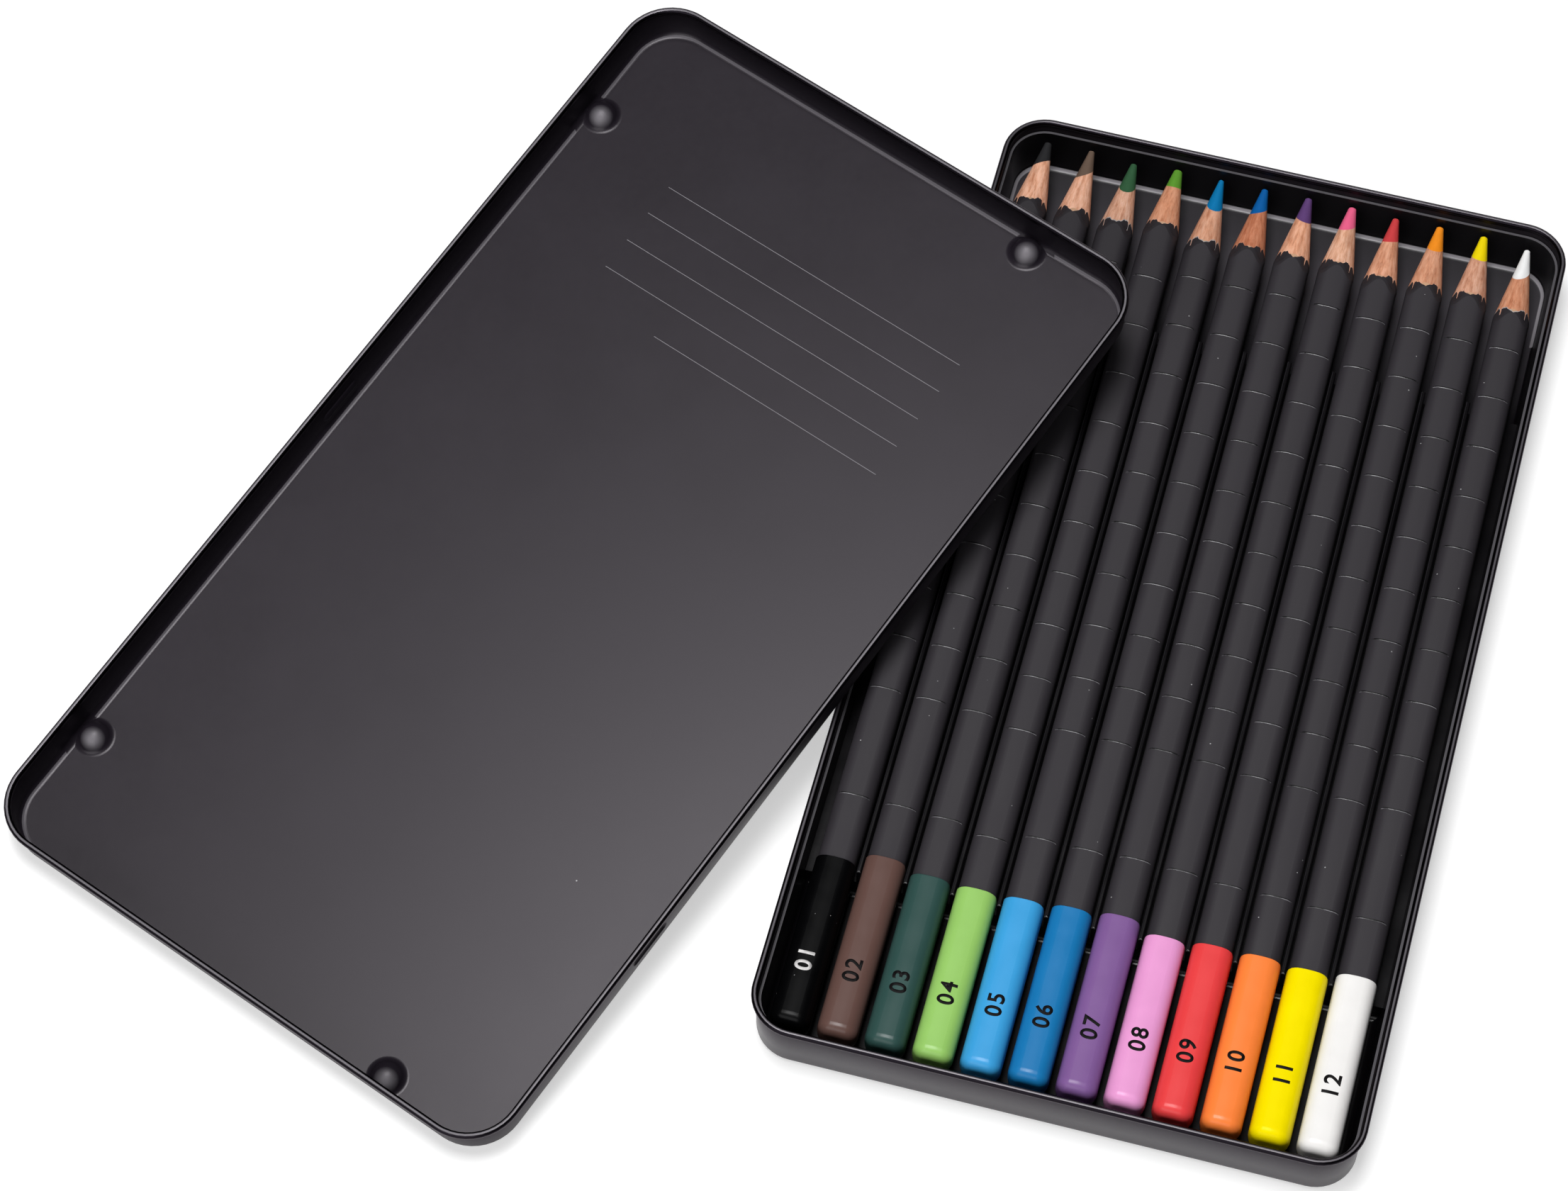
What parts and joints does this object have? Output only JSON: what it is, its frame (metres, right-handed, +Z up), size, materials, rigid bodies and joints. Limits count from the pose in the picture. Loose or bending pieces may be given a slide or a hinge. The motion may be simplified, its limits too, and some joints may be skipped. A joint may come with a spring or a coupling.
{
  "type": "watercolor pencil set",
  "caption": "Flat tin of soft-square watercolour pencils lying in a grooved insert, with its lid open beside it and leaning on its rim.",
  "frame": {"origin": "middle of the tray's underside, on the table", "axes": "+X runs across the pencils from the black one to the white one, +Y along them towards their points, +Z up"},
  "size_m": [0.2224, 0.2066, 0.0304],
  "materials": {
    "tray_tin": "satin black coat with a bright worn edge on the rolled rim",
    "insert_plastic": "glossy thermoformed sheet",
    "lid_tin": "satin black coat",
    "lacquer": "matte near-black lacquer",
    "cedar": "freshly sharpened, unfinished",
    "cap_01": "dipped gloss paint",
    "lead_01": "waxy pigment",
    "cap_02": "dipped gloss paint",
    "lead_02": "waxy pigment",
    "cap_03": "dipped gloss paint",
    "lead_03": "waxy pigment",
    "cap_04": "dipped gloss paint",
    "lead_04": "waxy pigment",
    "cap_05": "dipped gloss paint",
    "lead_05": "waxy pigment",
    "cap_06": "dipped gloss paint",
    "lead_06": "waxy pigment",
    "cap_07": "dipped gloss paint",
    "lead_07": "waxy pigment",
    "cap_08": "dipped gloss paint",
    "lead_08": "waxy pigment",
    "cap_09": "dipped gloss paint",
    "lead_09": "waxy pigment",
    "cap_10": "dipped gloss paint",
    "lead_10": "waxy pigment",
    "cap_11": "dipped gloss paint",
    "lead_11": "waxy pigment",
    "cap_12": "dipped gloss paint",
    "lead_12": "waxy pigment"
  },
  "bodies": {
    "tray": {"tray": "tray_tin", "insert": "insert_plastic"},
    "lid": {"lid": "lid_tin"},
    "pencil_01": {"pencil_01_wood": "cedar", "pencil_01_lacquer": "lacquer", "pencil_01_cap": "cap_01", "pencil_01_lead": "lead_01"},
    "pencil_02": {"pencil_02_wood": "cedar", "pencil_02_lacquer": "lacquer", "pencil_02_cap": "cap_02", "pencil_02_lead": "lead_02"},
    "pencil_03": {"pencil_03_wood": "cedar", "pencil_03_lacquer": "lacquer", "pencil_03_cap": "cap_03", "pencil_03_lead": "lead_03"},
    "pencil_04": {"pencil_04_wood": "cedar", "pencil_04_lacquer": "lacquer", "pencil_04_cap": "cap_04", "pencil_04_lead": "lead_04"},
    "pencil_05": {"pencil_05_wood": "cedar", "pencil_05_lacquer": "lacquer", "pencil_05_cap": "cap_05", "pencil_05_lead": "lead_05"},
    "pencil_06": {"pencil_06_wood": "cedar", "pencil_06_lacquer": "lacquer", "pencil_06_cap": "cap_06", "pencil_06_lead": "lead_06"},
    "pencil_07": {"pencil_07_wood": "cedar", "pencil_07_lacquer": "lacquer", "pencil_07_cap": "cap_07", "pencil_07_lead": "lead_07"},
    "pencil_08": {"pencil_08_wood": "cedar", "pencil_08_lacquer": "lacquer", "pencil_08_cap": "cap_08", "pencil_08_lead": "lead_08"},
    "pencil_09": {"pencil_09_wood": "cedar", "pencil_09_lacquer": "lacquer", "pencil_09_cap": "cap_09", "pencil_09_lead": "lead_09"},
    "pencil_10": {"pencil_10_wood": "cedar", "pencil_10_lacquer": "lacquer", "pencil_10_cap": "cap_10", "pencil_10_lead": "lead_10"},
    "pencil_11": {"pencil_11_wood": "cedar", "pencil_11_lacquer": "lacquer", "pencil_11_cap": "cap_11", "pencil_11_lead": "lead_11"},
    "pencil_12": {"pencil_12_wood": "cedar", "pencil_12_lacquer": "lacquer", "pencil_12_cap": "cap_12", "pencil_12_lead": "lead_12"}
  },
  "joints": [
    {"name": "lid_lift", "type": "slide", "parent": "tray", "child": "lid", "axis": [0, 0, 1], "range_m": [0, 0.04]},
    {"name": "pencil_01_lift", "type": "slide", "parent": "tray", "child": "pencil_01", "axis": [0, 0, 1], "range_m": [0, 0.0025]},
    {"name": "pencil_02_lift", "type": "slide", "parent": "tray", "child": "pencil_02", "axis": [0, 0, 1], "range_m": [0, 0.005]},
    {"name": "pencil_03_lift", "type": "slide", "parent": "tray", "child": "pencil_03", "axis": [0, 0, 1], "range_m": [0, 0.0075]},
    {"name": "pencil_04_lift", "type": "slide", "parent": "tray", "child": "pencil_04", "axis": [0, 0, 1], "range_m": [0, 0.01]},
    {"name": "pencil_05_lift", "type": "slide", "parent": "tray", "child": "pencil_05", "axis": [0, 0, 1], "range_m": [0, 0.03]},
    {"name": "pencil_06_lift", "type": "slide", "parent": "tray", "child": "pencil_06", "axis": [0, 0, 1], "range_m": [0, 0.03]},
    {"name": "pencil_07_lift", "type": "slide", "parent": "tray", "child": "pencil_07", "axis": [0, 0, 1], "range_m": [0, 0.03]},
    {"name": "pencil_08_lift", "type": "slide", "parent": "tray", "child": "pencil_08", "axis": [0, 0, 1], "range_m": [0, 0.03]},
    {"name": "pencil_09_lift", "type": "slide", "parent": "tray", "child": "pencil_09", "axis": [0, 0, 1], "range_m": [0, 0.03]},
    {"name": "pencil_10_lift", "type": "slide", "parent": "tray", "child": "pencil_10", "axis": [0, 0, 1], "range_m": [0, 0.03]},
    {"name": "pencil_11_lift", "type": "slide", "parent": "tray", "child": "pencil_11", "axis": [0, 0, 1], "range_m": [0, 0.03]},
    {"name": "pencil_12_lift", "type": "slide", "parent": "tray", "child": "pencil_12", "axis": [0, 0, 1], "range_m": [0, 0.03]}
  ]
}
